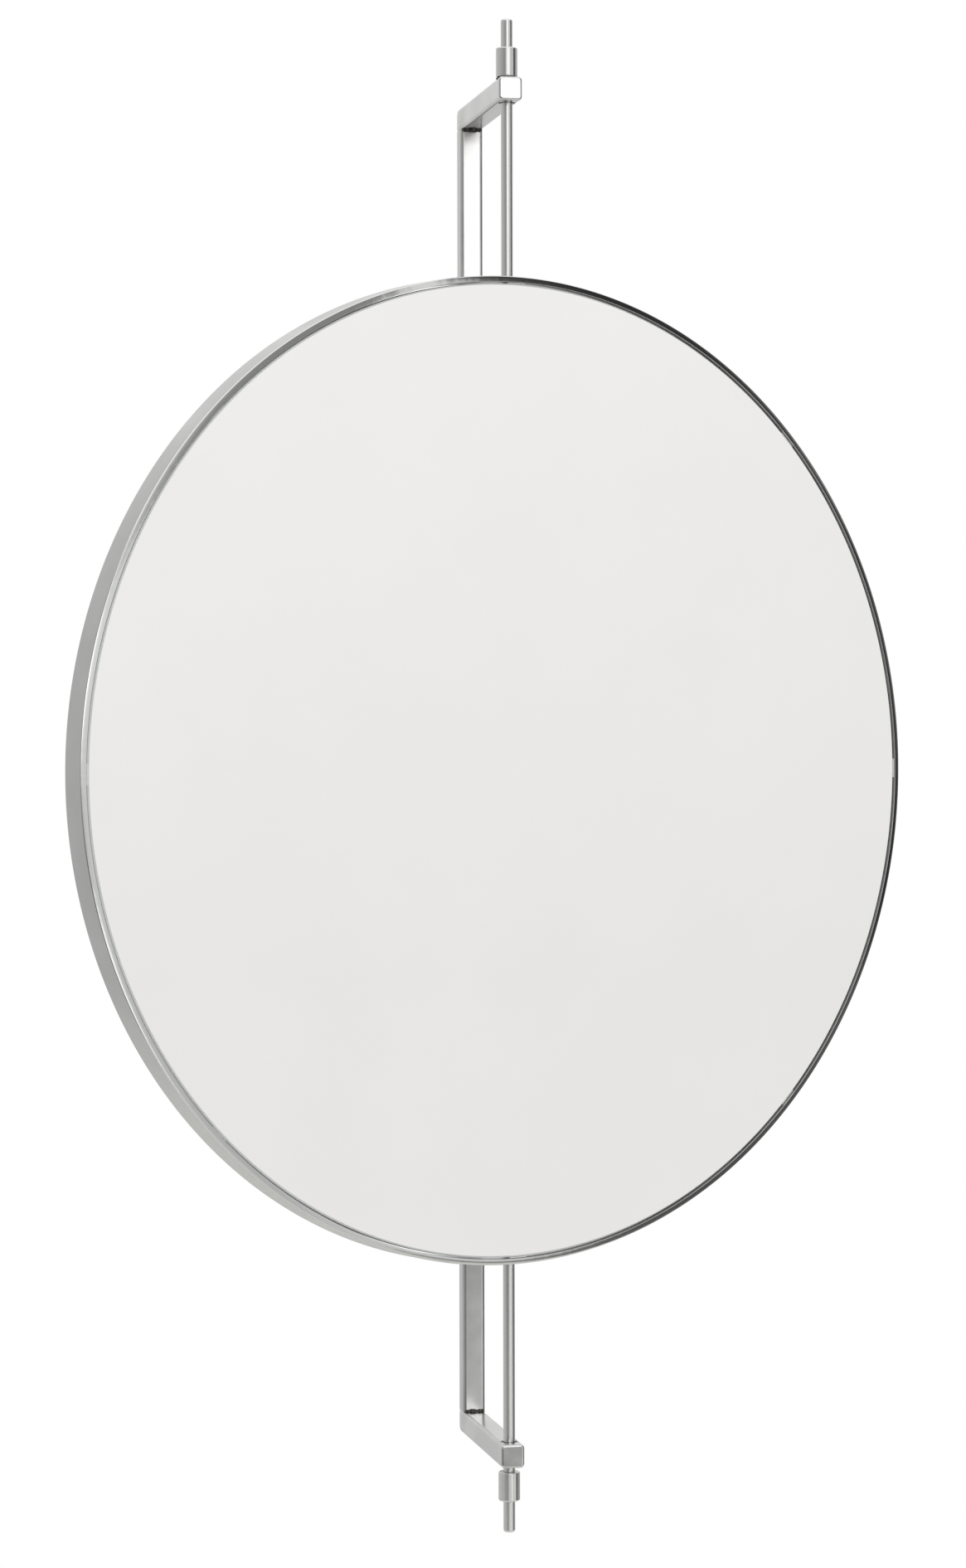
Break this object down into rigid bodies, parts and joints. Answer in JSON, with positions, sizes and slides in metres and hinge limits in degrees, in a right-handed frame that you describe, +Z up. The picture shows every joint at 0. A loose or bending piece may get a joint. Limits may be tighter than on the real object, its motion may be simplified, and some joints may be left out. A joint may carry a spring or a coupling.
{
  "type": "swivelling wall mirror",
  "caption": "Round wall mirror in a flat steel ring, swivelling on a vertical rod held by a C-shaped bracket of square steel bar.",
  "frame": {"origin": "middle of the flat wall face of the bracket's upright", "axes": "+Z up along the upright, +Y into the wall, -Y out of the wall towards the person"},
  "size_m": [0.4666, 0.2097, 0.7683],
  "materials": {
    "bracket_steel": "satin brushed stainless square bar, long grain",
    "weld_metal": "dark, rough weld bead, as welded",
    "ring_steel": "satin outer wall, polished rounded front edge",
    "rod_steel": "bright drawn stainless rod and turned collars",
    "sheet_steel": "mill finish stainless sheet",
    "screw_steel": "black oxide, matt",
    "mirror_glass": "silvered float glass, polished",
    "bearing_plastic": "black acetal, turned",
    "clear_pad": "translucent silicone pad",
    "foam_tape": "white double-sided foam tape"
  },
  "bodies": {
    "bracket": {"bracket_upright": "bracket_steel", "top_arm": "bracket_steel", "bottom_arm": "bracket_steel", "top_weld": "weld_metal", "bottom_weld": "weld_metal", "top_bush": "bearing_plastic", "bottom_bush": "bearing_plastic", "thrust_washer": "bearing_plastic"},
    "mirror": {"ring_frame": "ring_steel", "mirror_glass": "mirror_glass", "back_plate": "sheet_steel", "swivel_rod": "rod_steel", "top_collar": "rod_steel", "bottom_collar": "rod_steel", "top_grub_screw": "screw_steel", "bottom_grub_screw": "screw_steel", "glass_spacer_1": "clear_pad", "glass_spacer_2": "clear_pad", "glass_spacer_3": "clear_pad", "glass_spacer_4": "clear_pad", "glass_spacer_5": "clear_pad", "glass_spacer_6": "clear_pad", "glass_spacer_7": "clear_pad", "glass_spacer_8": "clear_pad", "foam_tape_1": "foam_tape", "foam_tape_2": "foam_tape", "foam_tape_3": "foam_tape", "foam_tape_4": "foam_tape", "rod_saddle_1": "sheet_steel", "rod_saddle_2": "sheet_steel", "rod_saddle_3": "sheet_steel", "edge_clip_1": "sheet_steel", "edge_clip_2": "sheet_steel", "edge_clip_3": "sheet_steel", "edge_clip_4": "sheet_steel"}
  },
  "joints": [
    {"name": "mirror_swivel", "type": "hinge", "parent": "bracket", "child": "mirror", "pos_m": [0, -0.105, 0], "axis": [0, 0, 1], "range_deg": [-45.8, 0.2]}
  ]
}
